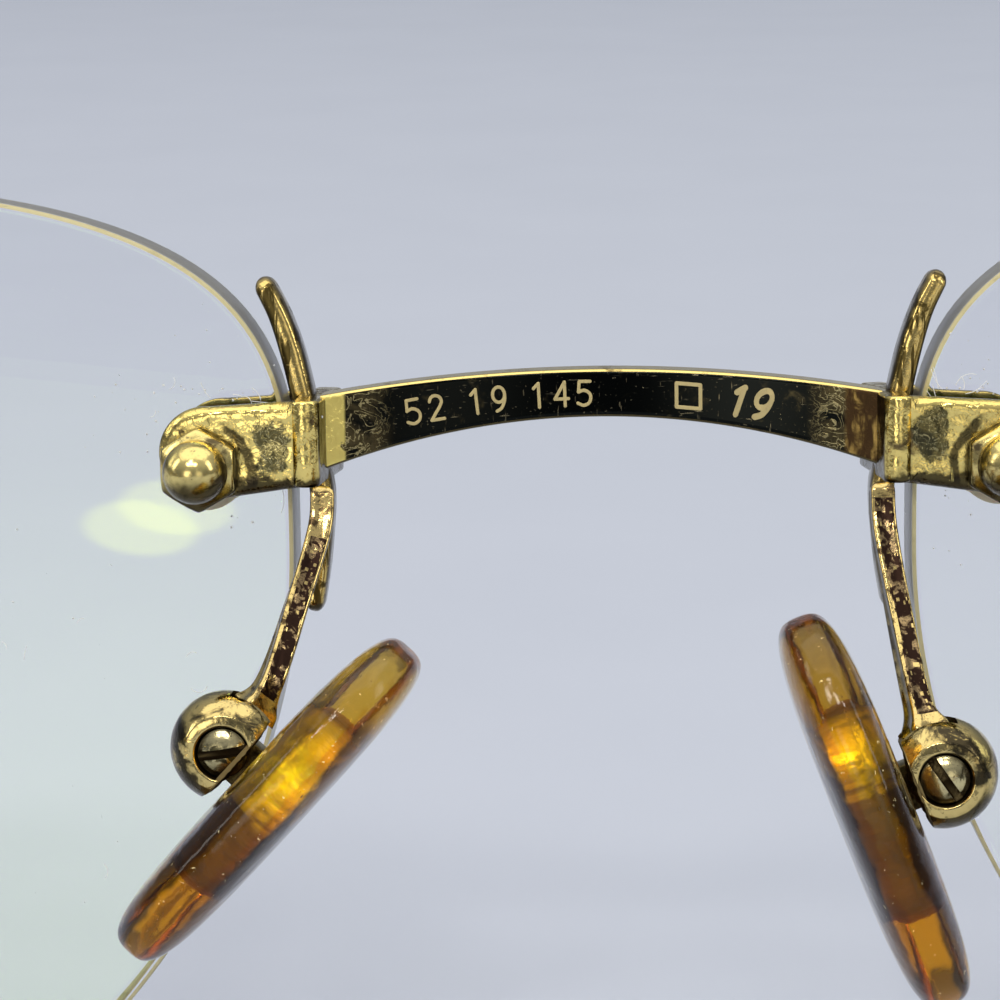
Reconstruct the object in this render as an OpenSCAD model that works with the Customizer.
// Rimless spectacles. Each lens is gripped at both sides by a strap clip and held
// by one through screw. Millimetres, +Z up, +Y the way the wearer looks, +X the
// wearer's right. The lower edges of the lenses and the ends of the temples lie on z = 0.

/* [Lenses] */
// Width of one lens
lens_w = 52; // [46:0.5:58]
// Gap between the two lenses at the nose
lens_gap = 19; // [16:0.5:23]
// Height of the lens above its widest level
lens_rise = 11.5; // [9:0.25:14]
// Depth of the lens below its widest level
lens_drop = 23.5; // [18:0.5:27]
// Widest level of the lens, measured up from the nose screw
lens_wide_z = -2.5; // [-5:0.25:0]
// Squareness of the upper half of the outline, where 2 is an ellipse
lens_top_power = 3.5; // [2.6:0.1:4]
// Squareness of the lower half of the outline, where 2 is an ellipse
lens_low_power = 2; // [2:0.1:2.6]
// Radius of the front surface
lens_r = 120; // [100:5:200]
// Thickness of the lens
lens_t = 2.6; // [2:0.1:3.4]
// Angle by which each lens turns around the face
lens_wrap = 5; // [2:0.5:7]
// Level of the optical axis, measured up from the nose screw
lens_axis_z = -2; // [-8:0.5:0]
// Forward lean of the whole front
front_lean = 8; // [5:0.5:12]

/* [Bridge] */
// Height of the bridge where it meets the clips
bridge_end_h = 2.4; // [2.1:0.05:2.6]
// Height of the bridge in its middle
bridge_mid_h = 1.5; // [1.1:0.05:1.8]
// Level of the bridge's upper edge at its ends
bridge_top_z = 2.1; // [1.8:0.05:2.1]
// Rise of the upper edge from the ends to the middle
bridge_arch = 0.65; // [0.2:0.05:1.2]
// Forward bow of the rear face
bridge_bow = 1.8; // [1.2:0.1:2.4]
// Thickness of the bridge from front to back
bridge_t = 1.5; // [1.1:0.1:2]
// Setback of the bridge's ends from the rear surface of the lens
bridge_end_y = 0.2; // [0:0.1:0.6]

/* [Clips] */
// Distance from the side of the lens to its screw hole
hole_inset = 2.7; // [2.5:0.1:4]
// Level of the outer screw hole, measured up from the nose screw
outer_hole_z = 1; // [-1:0.25:2]
// Thickness of a strap
strap_t = 0.55; // [0.4:0.05:0.7]
// Upper edge of the strap at its root, above the screw
strap_root_top = 2.1; // [1.9:0.05:2.4]
// Lower edge of the strap at its root, below the screw
strap_root_low = 0.55; // [0.4:0.05:0.9]
// Radius of the strap's round end
strap_end_r = 1.45; // [1.35:0.05:1.7]
// Level of the round end's centre above the screw
strap_end_z = 0.45; // [0:0.05:0.5]
// Width of the post that joins the two straps
post_w = 0.9; // [0.7:0.05:1.1]
// How far the post stands behind the straps
post_proud = 0.15; // [0.05:0.05:0.3]
// Gap between the post and the edge of the lens
post_gap = 0.1; // [0.1:0.05:0.3]
// Thickness of a plastic washer
washer_t = 0.2; // [0.15:0.05:0.4]
// Radius of a plastic washer
washer_r = 1.35; // [1.2:0.05:1.5]

/* [Edge rests] */
// Width of the rest's arm as seen from behind
rest_w = 0.78; // [0.6:0.02:0.9]
// Breadth of the rest's arm across the lens edge
rest_b = 1.5; // [1.2:0.1:1.9]
// Height of the upper arm's tip above the screw
rest_top = 5.4; // [4.5:0.1:6.5]
// Depth of the lower arm's tip below the screw
rest_low = 4.3; // [3.5:0.1:5.5]
// How far the upper tip stands off the lens
rest_spread = 1.05; // [0.3:0.05:1.2]

/* [Lens screws] */
// Radius of the screw's shaft
screw_r = 0.65; // [0.55:0.05:0.7]
// Radius of the screw's head
screw_head_r = 1.1; // [1:0.05:1.3]
// Height of the screw's head at its rim
screw_head_h = 0.35; // [0.25:0.05:0.5]
// Rise of the head's dome above its rim
screw_dome = 0.25; // [0.15:0.05:0.35]
// Clearance between the screw's shaft and the holes around it
screw_clear = 0.05; // [0.03:0.01:0.08]
// Width of the nut across its flats
nut_flats = 2.3; // [2.1:0.05:2.5]
// Height of the nut's six-sided part
nut_hex_h = 0.55; // [0.4:0.05:0.8]
// Radius of the nut's dome
nut_dome_r = 0.98; // [0.9:0.01:1.1]
// Height of the straight stretch under the dome
nut_neck_h = 0.15; // [0.1:0.05:0.3]

/* [Nose pads] */
// Distance of the left pad's box from the middle plane
left_box_x = 11.1; // [10:0.1:12.2]
// Depth of the left pad's box below the nose screw
left_box_z = 7.7; // [7:0.1:9]
// Slope of the left pad from the vertical
left_pad_slope = 43; // [20:1:45]
// Distance of the right pad's box from the middle plane
right_box_x = 9.9; // [9.8:0.1:12.2]
// Depth of the right pad's box below the nose screw
right_box_z = 8.6; // [7:0.1:9]
// Slope of the right pad from the vertical
right_pad_slope = 21; // [18:1:45]
// How far the boxes lie behind the lens
box_back = 5; // [4.5:0.1:6]
// Radius of a pad box
box_r = 1.65; // [1.5:0.05:1.75]
// Width of a pad arm
pad_arm_w = 0.85; // [0.7:0.05:0.95]
// Thickness of a pad arm
pad_arm_t = 0.75; // [0.6:0.05:0.9]
// Length of a pad
pad_l = 12; // [11:0.5:15]
// Width of a pad
pad_w = 7.2; // [6:0.1:8]
// Thickness of a pad
pad_t = 2.2; // [1.9:0.1:2.3]
// Distance of the left pad's middle from its rocking axis
left_pad_offset = 1.9; // [1.8:0.05:2.4]
// Distance of the right pad's middle from its rocking axis
right_pad_offset = 2.25; // [1.8:0.05:2.4]
// How far the pad's middle lies behind its box
pad_back = 1.4; // [1:0.1:1.6]
// Turn of the left pad towards the face
left_pad_splay = 5; // [0:1:14]
// Turn of the right pad towards the face
right_pad_splay = 2; // [0:1:14]
// Thickness of the tab that the pad hangs on
tab_t = 0.8; // [0.6:0.05:0.9]
// Width of the tab that the pad hangs on
tab_w = 1.4; // [1.3:0.05:1.5]
// Thickness of the plate inside the pad
plate_t = 0.4; // [0.3:0.05:1]
// Radius of the pad screw's shaft
pad_screw_r = 0.35; // [0.3:0.01:0.4]
// Radius of the pad screw's head
pad_screw_head_r = 0.74; // [0.6:0.02:0.8]
// Tilt of the left pad screw's slot
left_slot_tilt = 8; // [0:1:90]
// Tilt of the right pad screw's slot
right_slot_tilt = 55; // [0:1:90]

/* [Temple hinges] */
// Distance of a hinge pin from the middle plane
pin_x = 66.8; // [65.5:0.1:72]
// Distance of a hinge pin behind the nose screws
pin_back = 12.5; // [12.2:0.1:16]
// Radius of a hinge knuckle
knuckle_r = 1.25; // [1.1:0.05:1.4]
// Height of the middle knuckle
knuckle_h = 0.9; // [0.8:0.05:1.2]
// Play between two knuckles
knuckle_play = 0.1; // [0.08:0.01:0.15]
// Radius of the hinge screw's shaft
pin_r = 0.6; // [0.5:0.02:0.7]
// Play between the hinge screw and its knuckles
pin_play = 0.05; // [0.03:0.01:0.08]
// Thickness of a hinge leaf
leaf_t = 0.6; // [0.5:0.05:0.7]
// Length of a hinge leaf behind the pin
leaf_l = 8; // [5:0.5:12]
// Gap between the end piece and the open temple
butt_gap = 0.3; // [0.2:0.05:0.5]

/* [Temples] */
// Thickness of the temple bar
bar_t = 1.3; // [1.1:0.05:1.6]
// Height of the temple bar
bar_h = 3; // [2.9:0.1:3.6]
// Length of the straight stretch from the pin to the bend
straight_l = 95; // [85:1:105]
// Radius of the bend behind the ear
bend_r = 25; // [15:1:35]
// Angle of the bend behind the ear
bend_a = 40; // [35:1:50]
// Length of the straight stretch that the tip covers
sleeve_l = 20; // [14:1:30]
// Thickness of the plastic tip
tip_t = 2.6; // [2.3:0.1:3]
// Height of the tip at its front end
tip_front_h = 4; // [3.8:0.1:4.4]
// Height of the tip at its rounded end
tip_end_h = 5.4; // [4.6:0.1:6.5]
// Radius of the core wire inside the tip
core_r = 0.6; // [0.4:0.05:0.65]

/* [Hidden] */
$fn = 48;
gold = [0.80, 0.70, 0.44];
dark_gold = [0.66, 0.55, 0.33];
honey = [0.80, 0.52, 0.12, 0.9];
clear = [0.82, 0.86, 0.84, 0.35];
far = 40;
hair = 0.01;

// Small functions for directions and smooth curves
function unit(v) = v / norm(v);
function sign_pow(v, p) = sign(v) * pow(abs(v), p);
function head(p) = [p[0], p[1], p[2]];
function turned(p, pitch, yaw) =
    let (y = p[1] * cos(pitch) - p[2] * sin(pitch), z = p[1] * sin(pitch) + p[2] * cos(pitch))
    [p[0] * cos(yaw) - y * sin(yaw), p[0] * sin(yaw) + y * cos(yaw), z];
function curve_at(a, b, c, d, t) =
    (2 * b + (c - a) * t + (2 * a - 5 * b + 4 * c - d) * t * t + (3 * b - a - 3 * c + d) * t * t * t) / 2;
// A smooth curve through rows of numbers, such as a place and two half sizes
function curve(rows, steps) = [
    for (i = [0:len(rows) - 2], k = [0:steps - 1])
        curve_at(rows[max(i - 1, 0)], rows[i], rows[i + 1], rows[min(i + 2, len(rows) - 1)], k / steps),
    rows[len(rows) - 1]
];

// A bar swept along rows of [x, y, z, half width, half breadth]. The half width lies
// towards face, power squares the section, and caps are the lengths of its round ends.
cap_angles = [15, 45, 75];
function row_tangent(rows, i) =
    unit(head(rows[min(i + 1, len(rows) - 1)]) - head(rows[max(i - 1, 0)]));
function swept_ring(place, along, face, half, sides, power) =
    let (b = unit(cross(along, face)), a = cross(b, along))
    [for (k = [0:sides - 1])
        place + half[0] * sign_pow(cos(360 * k / sides), 2 / power) * a
              + half[1] * sign_pow(sin(360 * k / sides), 2 / power) * b];
function ring_at(rows, i, face, sides, power, out, share) =
    let (t = row_tangent(rows, i))
    swept_ring(head(rows[i]) + out * t, t, face, [rows[i][3], rows[i][4]] * share, sides, power);
module swept(rows, face, sides = 12, power = 2, caps = [0, 0]) {
    last = len(rows) - 1;
    rings = concat(
        caps[0] > 0 ? [for (q = cap_angles) ring_at(rows, 0, face, sides, power, -caps[0] * cos(q), sin(q))] : [],
        [for (i = [0:last]) ring_at(rows, i, face, sides, power, 0, 1)],
        caps[1] > 0 ? [for (j = [2:-1:0])
            ring_at(rows, last, face, sides, power, caps[1] * cos(cap_angles[j]), sin(cap_angles[j]))] : []
    );
    count = len(rings);
    sides_of = [for (i = [0:count - 2], k = [0:sides - 1]) let (n = (k + 1) % sides)
        each [[i * sides + k, (i + 1) * sides + k, (i + 1) * sides + n],
              [i * sides + k, (i + 1) * sides + n, i * sides + n]]];
    first_cap = [[for (k = [0:sides - 1]) k]];
    last_cap = [[for (k = [sides - 1:-1:0]) (count - 1) * sides + k]];
    polyhedron([for (ring = rings) each ring], concat(first_cap, sides_of, last_cap));
}
module round_rect(size, r) {
    square([size[0] - 2 * r, size[1]], center = true);
    square([size[0], size[1] - 2 * r], center = true);
    for (x = [-1, 1], y = [-1, 1])
        translate([x * (size[0] / 2 - r), y * (size[1] / 2 - r)]) circle(r);
}
// A round bar along +Y
module along_y(r, from, to) translate([0, to, 0]) rotate([90, 0, 0]) cylinder(r = r, h = to - from);

// Lens: outline and curved surfaces, in the frame of the front
lens_x = lens_gap / 2 + lens_w / 2;
lens_rear_r = lens_r - lens_t;
sphere_x = lens_x - lens_r * sin(lens_wrap);
sphere_y = lens_t - sqrt(pow(lens_r, 2) - pow(lens_gap / 2 - sphere_x, 2) - pow(lens_axis_z, 2));
sphere_at = [sphere_x, sphere_y, lens_axis_z];
outline_steps = 30;
function outline_point(q) =
    let (power = sin(q) < 0 ? lens_low_power : lens_top_power, tall = sin(q) < 0 ? lens_drop : lens_rise)
    [lens_w / 2 * sign_pow(cos(q), 2 / power), tall * sign_pow(sin(q), 2 / power)];
// Side of the outline at a level, on the nose side
function nose_edge_x(z) =
    let (v = z - lens_wide_z, power = v < 0 ? lens_low_power : lens_top_power, tall = v < 0 ? lens_drop : lens_rise)
    lens_x - lens_w / 2 * pow(1 - pow(abs(v) / tall, power), 1 / power);
function surface_y(r, x, z) = sphere_y + sqrt(pow(r, 2) - pow(x - sphere_x, 2) - pow(z - lens_axis_z, 2));

// Screw holes: each lies on a line through the centre of the lens's surfaces
nose_hole = [lens_gap / 2 + hole_inset, 0];
outer_hole = [lens_gap / 2 + lens_w - hole_inset, outer_hole_z];
function hole_pitch(hole) = asin((hole[1] - lens_axis_z) / lens_rear_r);
function hole_yaw(hole) = atan2(sphere_x - hole[0], surface_y(lens_rear_r, hole[0], hole[1]) - sphere_y);
function hole_seat(hole) = [hole[0], surface_y(lens_rear_r, hole[0], hole[1]), hole[1]];
function from_hole(hole, p) = hole_seat(hole) + turned(p, hole_pitch(hole), hole_yaw(hole));
module at_hole(hole) translate(hole_seat(hole)) rotate([hole_pitch(hole), 0, hole_yaw(hole)]) children();

// Place of the front in the whole: it leans forward above the nose screws
strap_rear = -washer_t - strap_t;
strap_front = lens_t + washer_t + strap_t;
lens_low_y = surface_y(lens_r, lens_x, lens_wide_z - lens_drop);
front_up = (lens_drop - lens_wide_z) * cos(front_lean) + lens_low_y * sin(front_lean);
function lean(p) = turned(p, -front_lean, 0);
post_mid_y = lens_t / 2;
post_side = hole_inset + post_gap;
bar_rise = lean(from_hole(outer_hole, [post_side + post_w, post_mid_y, (strap_root_top - strap_root_low) / 2]))[2];
bar_z = front_up + bar_rise;
tip_cap = 2.5;
tip_reach_z = sqrt(pow(tip_cap * sin(bend_a), 2) + pow(tip_end_h / 2 * cos(bend_a), 2));
tip_reach_y = sqrt(pow(tip_cap * cos(bend_a), 2) + pow(tip_end_h / 2 * sin(bend_a), 2));
tip_l = (bar_z - tip_reach_z - bend_r * (1 - cos(bend_a))) / sin(bend_a);
back_y = pin_back + straight_l + bend_r * sin(bend_a) + tip_l * cos(bend_a) + tip_reach_y;
front_y = hole_seat(nose_hole)[1] + strap_front + screw_head_h + screw_dome;
front_at = [0, (back_y - front_y) / 2, front_up];
function in_row(p) = front_at + lean(p);
module in_front() translate(front_at) rotate([-front_lean, 0, 0]) children();
module right_side() in_front() children();
module left_side() in_front() mirror([1, 0, 0]) children();
module left_of() mirror([1, 0, 0]) children();

module lens() {
    difference() {
        intersection() {
            translate([lens_x, far, lens_wide_z]) rotate([90, 0, 0]) linear_extrude(2 * far)
                polygon([for (k = [0:4 * outline_steps - 1]) outline_point(90 * k / outline_steps)]);
            translate(sphere_at) sphere(lens_r, $fn = 96);
        }
        translate(sphere_at) sphere(lens_rear_r, $fn = 96);
        for (hole = [nose_hole, outer_hole])
            at_hole(hole) along_y(screw_r + 2 * screw_clear, -lens_t, 2 * lens_t);
    }
}

// Bridge: arcs seen from behind and from above, cut to the clips at both ends
bridge_half = lens_gap / 2 - post_gap - post_w / 2;
function arc_r(rise) = (pow(bridge_half, 2) + pow(rise, 2)) / (2 * rise);
module bridge_solid() {
    low_rise = bridge_end_h + bridge_arch - bridge_mid_h;
    top_r = arc_r(bridge_arch);
    low_r = arc_r(low_rise);
    bow_r = arc_r(bridge_bow);
    rear_mid = bridge_end_y + bridge_bow;
    intersection() {
        translate([-bridge_half, -far / 2, bridge_top_z - far / 2]) cube([2 * bridge_half, far, far]);
        translate([0, 0, bridge_top_z + bridge_arch - top_r]) along_y(top_r, -far, far);
        translate([0, rear_mid + bridge_t - bow_r, -far]) cylinder(r = bow_r, h = 2 * far);
        difference() {
            translate([-far, -far, -far]) cube(2 * far);
            translate([0, 0, bridge_top_z - bridge_end_h + low_rise - low_r]) along_y(low_r, -far, far);
            translate([0, rear_mid - bow_r, -far]) cylinder(r = bow_r, h = 2 * far);
        }
    }
}
module bridge() color(gold) in_front() difference() {
    bridge_solid();
    for (side = [0, 1]) mirror([side, 0, 0]) nose_clip();
}

// Clip: two straps joined by a post, drawn with its post on the nose side
module strap(from, to) difference() {
    translate([0, to, 0]) rotate([90, 0, 0]) linear_extrude(to - from) {
        translate([-strap_inner, strap_end_z]) circle(strap_end_r);
        polygon([
            [-post_side - post_w / 2, strap_root_top], [-strap_inner, strap_end_z + strap_end_r],
            [-strap_inner, strap_end_z - strap_end_r], [-post_side - post_w / 2, -strap_root_low]
        ]);
    }
    along_y(screw_r + screw_clear, from - far, to + far);
}
strap_inner = 0.1;
post_edge_r = 0.3;
module clip() {
    strap(strap_rear, -washer_t);
    strap(lens_t + washer_t, strap_front);
    depth = strap_front - strap_rear + 2 * post_proud;
    translate([-post_side - post_w / 2, (strap_front + strap_rear) / 2, -strap_root_low])
        linear_extrude(strap_root_top + strap_root_low) round_rect([post_w, depth], post_edge_r);
}
module nose_clip() at_hole(nose_hole) clip();
module outer_clip() at_hole(outer_hole) mirror([1, 0, 0]) clip();

// Edge rest: an arm that follows the lens edge above and below the post
rest_gap = 0.2;
rest_foot_gap = 0.45;
rest_cap = 0.4;
// Levels from top to bottom: height, distance from the lens edge, share of the full width
rest_levels = [
    [rest_top, rest_spread, 0.85], [rest_top * 0.85, rest_spread * 0.65, 0.9],
    [rest_top * 0.65, rest_spread * 0.35, 0.98], [strap_root_top, rest_gap, 1],
    [0, (rest_gap + rest_foot_gap) / 2, 1], [-strap_root_low * 2, rest_foot_gap, 1],
    [-rest_low * 0.7, rest_foot_gap * 0.75, 0.9], [-rest_low, rest_foot_gap * 0.55, 0.8]
];
module rest_arm() {
    rows = [for (lv = rest_levels)
        [nose_edge_x(lv[0]) - lv[1] - rest_w / 2, post_mid_y, lv[0], rest_w / 2 * lv[2], rest_b / 2]];
    swept(curve(rows, 2), [1, 0, 0], 12, 3, [rest_cap, rest_cap]);
}
module nose_rest() difference() {
    rest_arm();
    nose_clip();
}
module outer_rest() difference() {
    setback = hole_seat(nose_hole)[1] - hole_seat(outer_hole)[1];
    translate([2 * lens_x, -setback, 0]) mirror([1, 0, 0]) rest_arm();
    outer_clip();
}

// Screw, domed nut and washers of one lens hole, with the head at the front
// The rear washer lies in the hollow surface of the lens, so it is thinner by the hollow's depth.
seat_play = 0.002;
washer_sag = lens_rear_r - sqrt(pow(lens_rear_r, 2) - pow(washer_r, 2)) + seat_play;
module washers() for (span = [[-washer_t, -washer_sag], [lens_t, lens_t + washer_t]]) difference() {
    along_y(washer_r, span[0], span[1]);
    along_y(screw_r + screw_clear, span[0] - washer_t, span[1] + washer_t);
}
nut_bore_h = 1.2;
slot_w = 0.28;
slot_d = 0.25;
module lens_screw() {
    dome_r = (pow(screw_head_r, 2) + pow(screw_dome, 2)) / (2 * screw_dome);
    along_y(screw_r, strap_rear - nut_bore_h + screw_clear, strap_front + screw_head_h / 2);
    difference() {
        intersection() {
            along_y(screw_head_r, strap_front, strap_front + screw_head_h + screw_dome);
            translate([0, strap_front + screw_head_h + screw_dome - dome_r, 0]) sphere(dome_r);
        }
        translate([-far / 2, strap_front + screw_head_h + screw_dome - slot_d, -slot_w / 2]) cube([far, far, slot_w]);
    }
}
module nut() difference() {
    union() {
        translate([0, strap_rear, 0]) rotate([90, 30, 0]) cylinder(d = nut_flats / cos(30), h = nut_hex_h, $fn = 6);
        along_y(nut_dome_r, strap_rear - nut_hex_h - nut_neck_h, strap_rear - nut_hex_h / 2);
        translate([0, strap_rear - nut_hex_h - nut_neck_h, 0]) sphere(nut_dome_r);
    }
    along_y(screw_r + screw_clear / 2, strap_rear - nut_bore_h, strap_rear + far);
}

// Pad box: a ball with a slot for the pad's tab and a recess for its screw.
// A side holds the box's distance from the middle plane and its depth below the nose screw,
// then the pad's slope, turn and distance from the box, then the tilt of the screw's slot.
left_pad_side = [left_box_x, left_box_z, left_pad_slope, left_pad_splay, left_pad_offset, left_slot_tilt];
right_pad_side = [right_box_x, right_box_z, right_pad_slope, right_pad_splay, right_pad_offset, right_slot_tilt];
arm_root = [lens_gap / 2 - post_gap - post_w, -0.9, -strap_root_low - 0.25];
rock_room = 0.35;
function box_flat(side) = side[4] - pad_t / 2 - rock_room;
box_cut_y = 1.2;
slot_back = 0.95;
slot_play = 0.05;
recess_d = 0.45;
rock_gap = 0.02;
function box_at(side) = [side[0], -box_back, -side[1]];
module at_pad_screw(side) translate(box_at(side)) rotate([0, -side[2], 0]) children();
module pad_box(side) difference() {
    translate(box_at(side)) sphere(box_r);
    translate(box_at(side) + [-far / 2, -far - box_cut_y, -far / 2]) cube(far);
    at_pad_screw(side) {
        translate([-far - box_flat(side), -far / 2, -far / 2]) cube(far);
        translate([slot_back - far, -tab_t / 2 - slot_play, -far / 2]) cube([far, tab_t + 2 * slot_play, far]);
        along_y(pad_screw_r + screw_clear, -far, box_cut_y);
        along_y(pad_screw_head_r + screw_clear, -far, recess_d - box_cut_y);
    }
}
pad_screw_head_h = 0.45;
module pad_screw(side) at_pad_screw(side) {
    head_rear = recess_d - box_cut_y - pad_screw_head_h;
    along_y(pad_screw_r, head_rear + pad_screw_head_h / 2, box_cut_y - rock_gap);
    difference() {
        along_y(pad_screw_head_r, head_rear, head_rear + pad_screw_head_h);
        rotate([0, side[2] + side[5], 0]) translate([-far / 2, head_rear - far + slot_d, -slot_w / 2])
            cube([far, far, slot_w]);
    }
}
// The arm's rows lie at shares of its reach from the clip to the box
function arm_rows(side) =
    let (reach = box_at(side) - arm_root, w = pad_arm_w / 2, t = pad_arm_t / 2)
    curve([
        concat(arm_root, [w, t]),
        concat(arm_root + [reach[0] * 0.03, reach[1] * 0.1, reach[2] * 0.15], [w, t]),
        concat(arm_root + [reach[0] * 0.25, reach[1] * 0.39, reach[2] * 0.43], [w * 0.95, t]),
        concat(arm_root + [reach[0] * 0.55, reach[1] * 0.85, reach[2] * 0.765], [w, t]),
        concat(box_at(side), [w * 1.5, t * 1.6])
    ], 3);
module pad_arm(side) difference() {
    swept(arm_rows(side), [1, 0, 0], 12, 3, [0.3, 0]);
    translate(box_at(side)) sphere(box_r);
    nose_clip();
    nose_rest();
    at_pad_screw(side) translate([slot_back - far - hair, -far / 2, -far / 2]) cube([far - slot_back, far, far]);
}

// Pad: a plate and tab of metal, cast into a soft-edged block of plastic
module pad_insert(side) at_pad_screw(side) difference() {
    union() {
        along_y(tab_w / 2, -tab_t / 2, tab_t / 2);
        translate([-side[4], -tab_t / 2, -tab_w / 2]) cube([side[4], tab_t, tab_w]);
        pad_frame(side) translate([-plate_t / 2, 0, 0]) rotate([0, 90, 0]) linear_extrude(plate_t)
            round_rect([pad_l * 0.5, pad_w * 0.5], pad_w * 0.2);
    }
    along_y(pad_screw_r + screw_clear, -far, far);
}
module pad_frame(side) translate([-side[4], -pad_back, 0]) rotate([0, 0, side[3]]) children();
pad_rings = 7;
function pad_row(s) =
    let (full = pow(1 - pow(abs(s), 2.4), 1 / 2.4), thick = pow(1 - pow(abs(s), 3), 1 / 3))
    [0, 0, pad_l / 2 * s, pad_t / 2 * thick, pad_w / 2 * full];
module pad(side) difference() {
    at_pad_screw(side) pad_frame(side)
        swept([for (i = [-pad_rings:pad_rings]) pad_row(0.992 * sin(90 * i / pad_rings))], [1, 0, 0], 20, 2.3);
    pad_insert(side);
}

// End piece and hinge, in the frame of the whole, right side
pin_at = [pin_x, in_row([0, 0, 0])[1] - pin_back, bar_z];
leaf_side = knuckle_r + 0.25;
bar_x = leaf_side + bar_t / 2;
bar_edge_r = 0.3;
end_straight = 5;
leaf_start = knuckle_r + 0.35;
stack_h = 2 * (knuckle_h / 2 + knuckle_play) + 2 * knuckle_h;
module bar_length(from, to, step = 0) translate([bar_x, to, 0]) rotate([90, 0, 0])
    linear_extrude(to - from) round_rect([bar_t - 2 * step, bar_h - 2 * step], bar_edge_r - step);
module end_piece() {
    post = in_row(from_hole(outer_hole, [post_side + post_w / 2, post_mid_y, (strap_root_top - strap_root_low) / 2]));
    elbow = pin_at + [bar_x, end_straight, 0];
    root = [bridge_t / 2, bridge_end_h / 2 - 0.1];
    bar = [bar_t / 2, bar_h / 2 - 0.02];
    reach = elbow - post;
    rows = [
        concat(post, root),
        concat(post + [reach[0] * 0.42, reach[1] * 0.1, 0], (root + bar) / 2),
        concat(post + [reach[0] * 0.8, reach[1] * 0.36, 0], bar),
        concat(elbow + [0, 0.2, 0], bar),
        concat(elbow - [0, 1, 0], bar)
    ];
    difference() {
        swept(curve(rows, 4), [0.7, 0.72, 0], 16, 5);
        in_front() outer_clip();
    }
    translate(pin_at) bar_length(0, end_straight);
}
module web(from, to, h) translate([0, from, -h / 2]) cube([leaf_side, to - from, h]);
module front_hinge() translate(pin_at) difference() {
    union() {
        for (z = [-1, 1]) translate([0, 0, z * (stack_h - knuckle_h) / 2]) {
            cylinder(r = knuckle_r, h = knuckle_h, center = true);
            web(butt_gap, leaf_start + leaf_t, knuckle_h);
        }
        translate([leaf_side - leaf_t, leaf_start, -bar_h / 2 + bar_edge_r])
            cube([leaf_t, end_straight - leaf_start, bar_h - 2 * bar_edge_r]);
    }
    cylinder(r = pin_r + pin_play / 2, h = far, center = true);
}
module temple_hinge() translate(pin_at) difference() {
    union() {
        cylinder(r = knuckle_r, h = knuckle_h, center = true);
        web(-leaf_start - leaf_t, -butt_gap, knuckle_h);
        translate([leaf_side - leaf_t, -leaf_l, -bar_h / 2 + bar_edge_r])
            cube([leaf_t, leaf_l - leaf_start, bar_h - 2 * bar_edge_r]);
    }
    cylinder(r = pin_r + pin_play, h = far, center = true);
}
pin_head_r = 1;
pin_head_h = 0.45;
module hinge_screw() translate(pin_at) {
    translate([0, 0, -stack_h / 2 - 0.2]) cylinder(r = pin_r, h = stack_h + 0.2 + pin_head_h / 2);
    difference() {
        translate([0, 0, stack_h / 2]) cylinder(r = pin_head_r, h = pin_head_h);
        translate([-far / 2, -slot_w / 2, stack_h / 2 + pin_head_h - slot_d]) cube([far, slot_w, far]);
    }
}

// Temple: a flat bar with a slimmer tongue, then a core wire that follows the bend inside the
// plastic tip. The tongue and the wire lie inside the tip.
tip_lip = 0.6;
tongue_l = 8;
tongue_step = 0.15;
bar_end = straight_l - sleeve_l - tip_lip;
tongue_end = bar_end + tongue_l;
core_short = 14;
bend_step = 8;
function temple_point(s) =
    s < 0 ? [bar_x, -straight_l - s, 0]
    : s < 1 ? [bar_x, -straight_l - bend_r * sin(bend_a * s), -bend_r * (1 - cos(bend_a * s))]
    : let (d = tip_l * (s - 1))
      [bar_x, -straight_l - bend_r * sin(bend_a) - d * cos(bend_a), -bend_r * (1 - cos(bend_a)) - d * sin(bend_a)];
module core_wire() translate(pin_at) {
    straight = [for (y = [tongue_end - 1, (tongue_end + straight_l) / 2]) [bar_x, -y, 0, core_r, core_r]];
    bent = [for (k = [0:bend_step]) concat(temple_point(k / bend_step), [core_r, core_r])];
    swept(concat(straight, bent, [concat(temple_point(2 - core_short / tip_l), [core_r, core_r])]), [1, 0, 0], 8);
}
module temple() {
    translate(pin_at) {
        bar_length(-bar_end, -butt_gap);
        bar_length(-tongue_end, 1 - bar_end, tongue_step);
    }
    core_wire();
}
function tip_half(w) = [tip_t / 2, (tip_front_h * (1 - w) + tip_end_h * w) / 2];
module temple_tip() difference() {
    translate(pin_at) {
        total = sleeve_l + bend_r * bend_a * PI / 180 + tip_l;
        straight = [for (y = [sleeve_l, sleeve_l / 2]) concat([bar_x, y - straight_l, 0], tip_half(0))];
        bent = [for (k = [0:bend_step]) concat(temple_point(k / bend_step), tip_half(0.35 * k / bend_step))];
        blade = [for (k = [1:3]) concat(temple_point(1 + k / 3), tip_half(0.35 + 0.65 * k / 3))];
        swept(concat(straight, bent, blade), [1, 0, 0], 16, 2.4, [tip_lip, tip_cap]);
    }
    temple();
}

module left_lens() color(clear) left_side() lens();
module right_lens() color(clear) right_side() lens();
module left_bridge_clip() color(gold) left_side() nose_clip();
module right_bridge_clip() color(gold) right_side() nose_clip();
module left_bridge_rest() color(dark_gold) left_side() nose_rest();
module right_bridge_rest() color(dark_gold) right_side() nose_rest();
module left_bridge_washers() color("white") left_side() at_hole(nose_hole) washers();
module right_bridge_washers() color("white") right_side() at_hole(nose_hole) washers();
module left_bridge_screw() color(gold) left_side() at_hole(nose_hole) lens_screw();
module right_bridge_screw() color(gold) right_side() at_hole(nose_hole) lens_screw();
module left_bridge_nut() color(dark_gold) left_side() at_hole(nose_hole) nut();
module right_bridge_nut() color(dark_gold) right_side() at_hole(nose_hole) nut();
module left_pad_arm() color(gold) left_side() pad_arm(left_pad_side);
module right_pad_arm() color(gold) right_side() pad_arm(right_pad_side);
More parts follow.
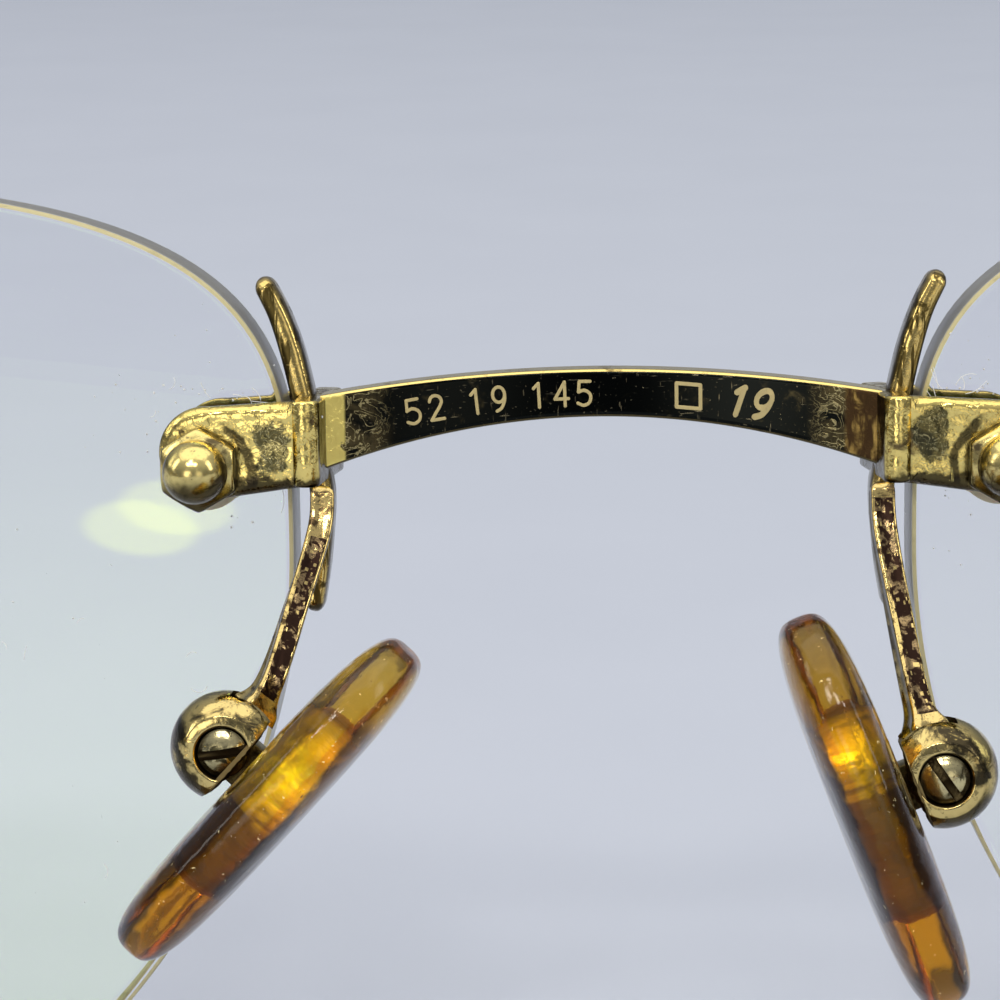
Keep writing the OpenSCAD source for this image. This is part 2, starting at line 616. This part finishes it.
module left_pad_box() color(gold) left_side() pad_box(left_pad_side);
module right_pad_box() color(gold) right_side() pad_box(right_pad_side);
module left_pad_screw() color(dark_gold) left_side() pad_screw(left_pad_side);
module right_pad_screw() color(dark_gold) right_side() pad_screw(right_pad_side);
module left_pad_insert() color(gold) left_side() pad_insert(left_pad_side);
module right_pad_insert() color(gold) right_side() pad_insert(right_pad_side);
module left_pad() color(honey) left_side() pad(left_pad_side);
module right_pad() color(honey) right_side() pad(right_pad_side);
module left_outer_clip() color(gold) left_side() outer_clip();
module right_outer_clip() color(gold) right_side() outer_clip();
module left_outer_rest() color(dark_gold) left_side() outer_rest();
module right_outer_rest() color(dark_gold) right_side() outer_rest();
module left_outer_washers() color("white") left_side() at_hole(outer_hole) washers();
module right_outer_washers() color("white") right_side() at_hole(outer_hole) washers();
module left_outer_screw() color(gold) left_side() at_hole(outer_hole) lens_screw();
module right_outer_screw() color(gold) right_side() at_hole(outer_hole) lens_screw();
module left_outer_nut() color(dark_gold) left_side() at_hole(outer_hole) nut();
module right_outer_nut() color(dark_gold) right_side() at_hole(outer_hole) nut();
module left_end_piece() color(gold) left_of() end_piece();
module right_end_piece() color(gold) end_piece();
module left_front_hinge() color(gold) left_of() front_hinge();
module right_front_hinge() color(gold) front_hinge();
module left_hinge_screw() color(dark_gold) left_of() hinge_screw();
module right_hinge_screw() color(dark_gold) hinge_screw();
module left_temple_hinge() color(gold) left_of() temple_hinge();
module right_temple_hinge() color(gold) temple_hinge();
module left_temple() color(gold) left_of() temple();
module right_temple() color(gold) temple();
module left_temple_tip() color(honey) left_of() temple_tip();
module right_temple_tip() color(honey) temple_tip();

left_lens();
right_lens();
bridge();
left_bridge_clip();
right_bridge_clip();
left_bridge_rest();
right_bridge_rest();
left_bridge_washers();
right_bridge_washers();
left_bridge_screw();
right_bridge_screw();
left_bridge_nut();
right_bridge_nut();
left_pad_arm();
right_pad_arm();
left_pad_box();
right_pad_box();
left_pad_screw();
right_pad_screw();
left_pad_insert();
right_pad_insert();
left_pad();
right_pad();
left_outer_clip();
right_outer_clip();
left_outer_rest();
right_outer_rest();
left_outer_washers();
right_outer_washers();
left_outer_screw();
right_outer_screw();
left_outer_nut();
right_outer_nut();
left_end_piece();
right_end_piece();
left_front_hinge();
right_front_hinge();
left_hinge_screw();
right_hinge_screw();
left_temple_hinge();
right_temple_hinge();
left_temple();
right_temple();
left_temple_tip();
right_temple_tip();
